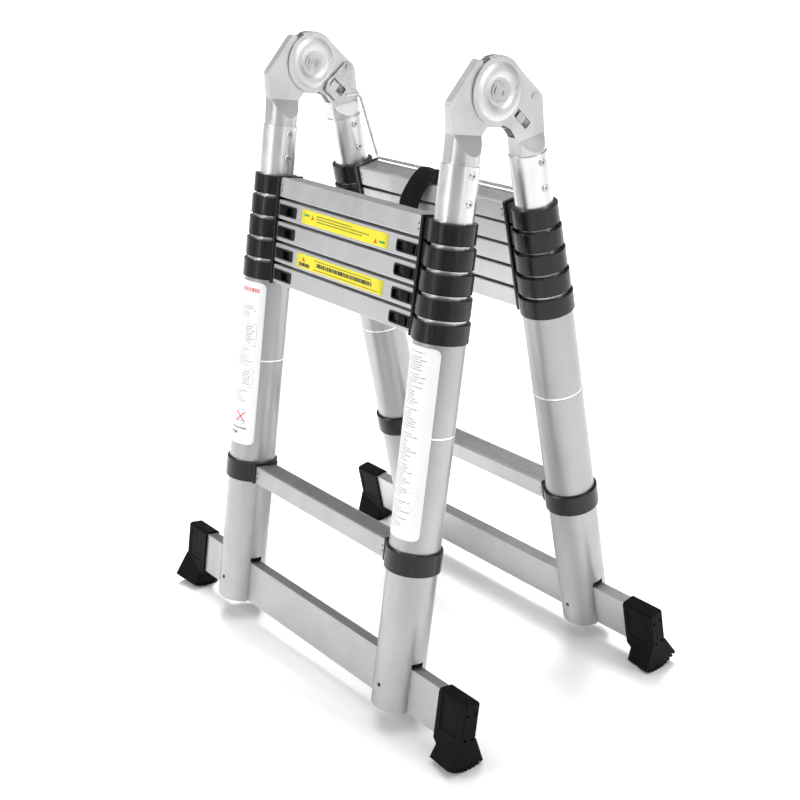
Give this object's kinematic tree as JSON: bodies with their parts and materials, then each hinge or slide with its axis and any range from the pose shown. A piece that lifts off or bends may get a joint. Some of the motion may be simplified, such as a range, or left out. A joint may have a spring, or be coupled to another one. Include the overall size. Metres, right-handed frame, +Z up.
{
  "type": "multi position ladder",
  "caption": "Telescopic A-frame ladder whose folding sections slide in nested tubes, with locking hinges, thumb-locked rungs, wide foot bars and rubber feet.",
  "frame": {"origin": "on the floor, midway between the feet, in the closed A-frame position", "axes": "+Z up, X along the rungs and the hinge axis, -Y towards the front section"},
  "size_m": [0.662, 0.4154, 0.8356],
  "materials": {
    "tube_aluminium": "satin anodised",
    "rung_aluminium": "matte extruded",
    "bar_aluminium": "matte extruded",
    "hinge_metal": "satin silver",
    "steel": "zinc plated",
    "black_plastic": "moulded, slight sheen",
    "black_rubber": "moulded rubber",
    "webbing": "woven polyester webbing"
  },
  "bodies": {
    "front_stage_1": {"front_tubes_1": "tube_aluminium", "front_collars_1": "black_plastic", "front_rung_1": "rung_aluminium", "front_middle_rung": "rung_aluminium", "front_stabiliser_bar": "bar_aluminium", "front_feet": "black_rubber"},
    "front_stage_2": {"front_tubes_2": "tube_aluminium", "front_collars_2": "black_plastic", "front_rung_2": "rung_aluminium"},
    "front_stage_3": {"front_tubes_3": "tube_aluminium", "front_collars_3": "black_plastic", "front_rung_3": "rung_aluminium"},
    "front_stage_4": {"front_tubes_4": "tube_aluminium", "front_collars_4": "black_plastic", "front_rung_4": "rung_aluminium"},
    "front_stage_5": {"front_tubes_5": "tube_aluminium", "front_collars_5": "black_plastic", "front_rung_5": "rung_aluminium", "front_hinge_plates": "hinge_metal", "front_hinge_fasteners": "steel"},
    "front_lock_1_right": {"front_lock_1_right": "black_plastic"},
    "front_lock_1_left": {"front_lock_1_left": "black_plastic"},
    "front_lock_2_right": {"front_lock_2_right": "black_plastic"},
    "front_lock_2_left": {"front_lock_2_left": "black_plastic"},
    "front_lock_3_right": {"front_lock_3_right": "black_plastic"},
    "front_lock_3_left": {"front_lock_3_left": "black_plastic"},
    "front_lock_4_right": {"front_lock_4_right": "black_plastic"},
    "front_lock_4_left": {"front_lock_4_left": "black_plastic"},
    "rear_stage_1": {"rear_tubes_1": "tube_aluminium", "rear_collars_1": "black_plastic", "rear_rung_1": "rung_aluminium", "rear_middle_rung": "rung_aluminium", "rear_stabiliser_bar": "bar_aluminium", "rear_feet": "black_rubber"},
    "rear_stage_2": {"rear_tubes_2": "tube_aluminium", "rear_collars_2": "black_plastic", "rear_rung_2": "rung_aluminium"},
    "rear_stage_3": {"rear_tubes_3": "tube_aluminium", "rear_collars_3": "black_plastic", "rear_rung_3": "rung_aluminium"},
    "rear_stage_4": {"rear_tubes_4": "tube_aluminium", "rear_collars_4": "black_plastic", "rear_rung_4": "rung_aluminium"},
    "rear_stage_5": {"rear_tubes_5": "tube_aluminium", "rear_collars_5": "black_plastic", "rear_rung_5": "rung_aluminium", "rear_hinge_plates": "hinge_metal", "rear_hinge_fasteners": "steel", "hinge_guards": "black_plastic", "strap": "webbing"},
    "rear_lock_1_right": {"rear_lock_1_right": "black_plastic"},
    "rear_lock_1_left": {"rear_lock_1_left": "black_plastic"},
    "rear_lock_2_right": {"rear_lock_2_right": "black_plastic"},
    "rear_lock_2_left": {"rear_lock_2_left": "black_plastic"},
    "rear_lock_3_right": {"rear_lock_3_right": "black_plastic"},
    "rear_lock_3_left": {"rear_lock_3_left": "black_plastic"},
    "rear_lock_4_right": {"rear_lock_4_right": "black_plastic"},
    "rear_lock_4_left": {"rear_lock_4_left": "black_plastic"},
    "lock_bolts": {"hinge_lock_bolts": "steel"},
    "release_bar": {"hinge_release_bar": "steel"}
  },
  "joints": [
    {"name": "front_slide_1", "type": "slide", "parent": "front_stage_1", "child": "front_stage_2", "axis": [0, 0.1743, 0.9847], "range_m": [0, 0.2653]},
    {"name": "front_slide_2", "type": "slide", "parent": "front_stage_2", "child": "front_stage_3", "axis": [0, 0.1743, 0.9847], "range_m": [0, 0.2653]},
    {"name": "front_slide_3", "type": "slide", "parent": "front_stage_3", "child": "front_stage_4", "axis": [0, 0.1743, 0.9847], "range_m": [0, 0.2653]},
    {"name": "front_slide_4", "type": "slide", "parent": "front_stage_4", "child": "front_stage_5", "axis": [0, 0.1743, 0.9847], "range_m": [0, 0.2653]},
    {"name": "hinge", "type": "hinge", "parent": "front_stage_5", "child": "rear_stage_5", "pos_m": [0, 0, 0.79361], "axis": [1, 0, 0], "range_deg": [-20.08, 159.92]},
    {"name": "rear_slide_4", "type": "slide", "parent": "rear_stage_5", "child": "rear_stage_4", "axis": [0, 0.1743, -0.9847], "range_m": [0, 0.2653]},
    {"name": "rear_slide_3", "type": "slide", "parent": "rear_stage_4", "child": "rear_stage_3", "axis": [0, 0.1743, -0.9847], "range_m": [0, 0.2653]},
    {"name": "rear_slide_2", "type": "slide", "parent": "rear_stage_3", "child": "rear_stage_2", "axis": [0, 0.1743, -0.9847], "range_m": [0, 0.2653]},
    {"name": "rear_slide_1", "type": "slide", "parent": "rear_stage_2", "child": "rear_stage_1", "axis": [0, 0.1743, -0.9847], "range_m": [0, 0.2653]},
    {"name": "front_lock_1_right_slide", "type": "slide", "parent": "front_stage_1", "child": "front_lock_1_right", "axis": [-1, 0, 0], "range_m": [0, 0.012], "stiffness_N_per_m": 300, "springref_m": -0.005},
    {"name": "front_lock_1_left_slide", "type": "slide", "parent": "front_stage_1", "child": "front_lock_1_left", "axis": [1, 0, 0], "range_m": [0, 0.012], "stiffness_N_per_m": 300, "springref_m": -0.005},
    {"name": "front_lock_2_right_slide", "type": "slide", "parent": "front_stage_2", "child": "front_lock_2_right", "axis": [-1, 0, 0], "range_m": [0, 0.012], "stiffness_N_per_m": 300, "springref_m": -0.005},
    {"name": "front_lock_2_left_slide", "type": "slide", "parent": "front_stage_2", "child": "front_lock_2_left", "axis": [1, 0, 0], "range_m": [0, 0.012], "stiffness_N_per_m": 300, "springref_m": -0.005},
    {"name": "front_lock_3_right_slide", "type": "slide", "parent": "front_stage_3", "child": "front_lock_3_right", "axis": [-1, 0, 0], "range_m": [0, 0.012], "stiffness_N_per_m": 300, "springref_m": -0.005},
    {"name": "front_lock_3_left_slide", "type": "slide", "parent": "front_stage_3", "child": "front_lock_3_left", "axis": [1, 0, 0], "range_m": [0, 0.012], "stiffness_N_per_m": 300, "springref_m": -0.005},
    {"name": "front_lock_4_right_slide", "type": "slide", "parent": "front_stage_4", "child": "front_lock_4_right", "axis": [-1, 0, 0], "range_m": [0, 0.012], "stiffness_N_per_m": 300, "springref_m": -0.005},
    {"name": "front_lock_4_left_slide", "type": "slide", "parent": "front_stage_4", "child": "front_lock_4_left", "axis": [1, 0, 0], "range_m": [0, 0.012], "stiffness_N_per_m": 300, "springref_m": -0.005},
    {"name": "rear_lock_1_right_slide", "type": "slide", "parent": "rear_stage_1", "child": "rear_lock_1_right", "axis": [-1, 0, 0], "range_m": [0, 0.012], "stiffness_N_per_m": 300, "springref_m": -0.005},
    {"name": "rear_lock_1_left_slide", "type": "slide", "parent": "rear_stage_1", "child": "rear_lock_1_left", "axis": [1, 0, 0], "range_m": [0, 0.012], "stiffness_N_per_m": 300, "springref_m": -0.005},
    {"name": "rear_lock_2_right_slide", "type": "slide", "parent": "rear_stage_2", "child": "rear_lock_2_right", "axis": [-1, 0, 0], "range_m": [0, 0.012], "stiffness_N_per_m": 300, "springref_m": -0.005},
    {"name": "rear_lock_2_left_slide", "type": "slide", "parent": "rear_stage_2", "child": "rear_lock_2_left", "axis": [1, 0, 0], "range_m": [0, 0.012], "stiffness_N_per_m": 300, "springref_m": -0.005},
    {"name": "rear_lock_3_right_slide", "type": "slide", "parent": "rear_stage_3", "child": "rear_lock_3_right", "axis": [-1, 0, 0], "range_m": [0, 0.012], "stiffness_N_per_m": 300, "springref_m": -0.005},
    {"name": "rear_lock_3_left_slide", "type": "slide", "parent": "rear_stage_3", "child": "rear_lock_3_left", "axis": [1, 0, 0], "range_m": [0, 0.012], "stiffness_N_per_m": 300, "springref_m": -0.005},
    {"name": "rear_lock_4_right_slide", "type": "slide", "parent": "rear_stage_4", "child": "rear_lock_4_right", "axis": [-1, 0, 0], "range_m": [0, 0.012], "stiffness_N_per_m": 300, "springref_m": -0.005},
    {"name": "rear_lock_4_left_slide", "type": "slide", "parent": "rear_stage_4", "child": "rear_lock_4_left", "axis": [1, 0, 0], "range_m": [0, 0.012], "stiffness_N_per_m": 300, "springref_m": -0.005},
    {"name": "release", "type": "hinge", "parent": "rear_stage_5", "child": "release_bar", "pos_m": [0, 0.057, 0.78161], "axis": [1, 0, 0], "range_deg": [0, 18], "stiffness_Nm_per_rad": 1, "springref_deg": -11.46},
    {"name": "bolt_slide", "type": "slide", "parent": "rear_stage_5", "child": "lock_bolts", "axis": [0, 0.7071, -0.7071], "range_m": [0, 0.0098]}
  ],
  "couplings": [
    {"joint": "bolt_slide", "follows": "release", "m_per_rad": 0.031}
  ]
}
